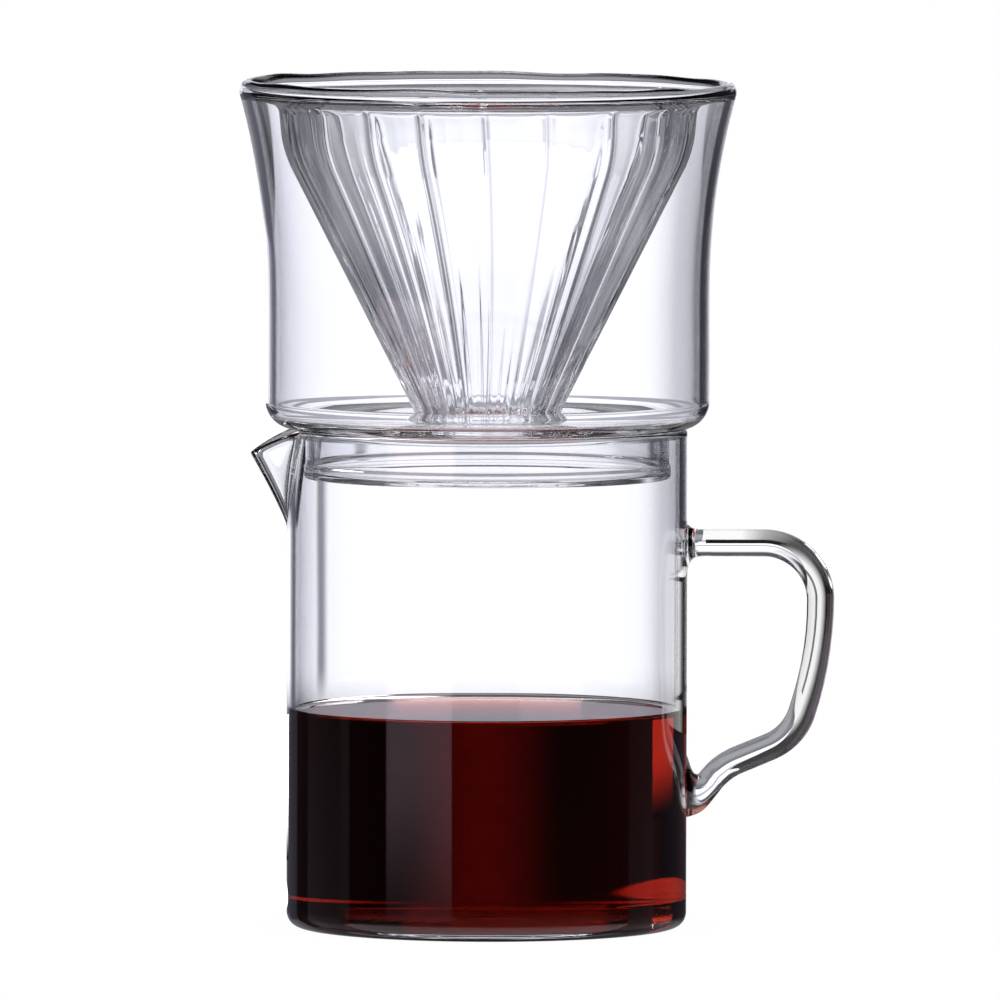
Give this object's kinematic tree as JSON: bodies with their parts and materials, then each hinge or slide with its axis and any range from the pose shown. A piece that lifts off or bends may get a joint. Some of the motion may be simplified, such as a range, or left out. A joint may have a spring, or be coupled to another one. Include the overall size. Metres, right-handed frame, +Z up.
{
  "type": "pour over coffee dripper with carafe",
  "caption": "Double-walled glass pour over dripper with a fluted cone, standing in the neck of a spouted glass carafe with a rod handle, part full of coffee.",
  "frame": {"origin": "middle of the carafe's flat underside", "axes": "+Z up along the axis of the carafe and the dripper, -X towards the pour spout, +X towards the handle"},
  "size_m": [0.1265, 0.1056, 0.1796],
  "materials": {
    "blown_glass": "clear borosilicate, fire-polished",
    "fluted_glass": "clear borosilicate, softly rippled",
    "rod_glass": "clear drawn rod, flame-worked ends",
    "coffee": "still liquid, deep red-brown"
  },
  "bodies": {
    "carafe": {"carafe_body": "blown_glass", "handle_rod": "rod_glass", "handle_upper_weld": "rod_glass", "handle_lower_weld": "rod_glass", "coffee": "coffee"},
    "dripper": {"outer_shell": "blown_glass", "ribbed_cone": "fluted_glass", "rim_bead": "fluted_glass", "cone_foot_ring": "fluted_glass", "locating_collar": "blown_glass", "vent_seal": "fluted_glass"}
  },
  "joints": [
    {"name": "dripper_lift", "type": "slide", "parent": "carafe", "child": "dripper", "axis": [0, 0, 1], "range_m": [0, 0.03]}
  ]
}
